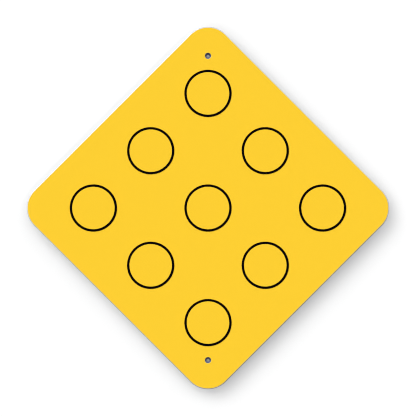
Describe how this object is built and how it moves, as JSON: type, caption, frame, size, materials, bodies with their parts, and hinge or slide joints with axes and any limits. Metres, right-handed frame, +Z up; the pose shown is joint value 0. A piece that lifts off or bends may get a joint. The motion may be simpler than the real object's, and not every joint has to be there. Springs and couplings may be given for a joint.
{
  "type": "object marker sign",
  "caption": "Flat diamond-shaped road marker of sheet aluminium, faced in yellow reflective sheeting with a grid of black-edged yellow reflector discs, bolted to a post at top and bottom.",
  "frame": {"origin": "midway between the two bolt holes, on the back face of the blank", "axes": "+Z up towards the top corner, -Y the way the face looks, +X to the right as seen from the front"},
  "size_m": [0.6116, 0.0027, 0.6116],
  "materials": {
    "mill_aluminium": "mill finish",
    "pressure_adhesive": "tacky film",
    "yellow_sheeting": "smooth retroreflective film",
    "reflector_yellow": "smooth retroreflective film",
    "black_ink": "satin screen ink"
  },
  "bodies": {
    "root": {"sign_blank": "mill_aluminium", "sheeting_adhesive": "pressure_adhesive", "panel_sheeting": "yellow_sheeting", "disc_adhesive": "pressure_adhesive", "black_borders": "black_ink", "reflector_disc_top": "reflector_yellow", "reflector_disc_upper_left": "reflector_yellow", "reflector_disc_upper_right": "reflector_yellow", "reflector_disc_left": "reflector_yellow", "reflector_disc_centre": "reflector_yellow", "reflector_disc_right": "reflector_yellow", "reflector_disc_lower_left": "reflector_yellow", "reflector_disc_lower_right": "reflector_yellow", "reflector_disc_bottom": "reflector_yellow"}
  },
  "joints": []
}
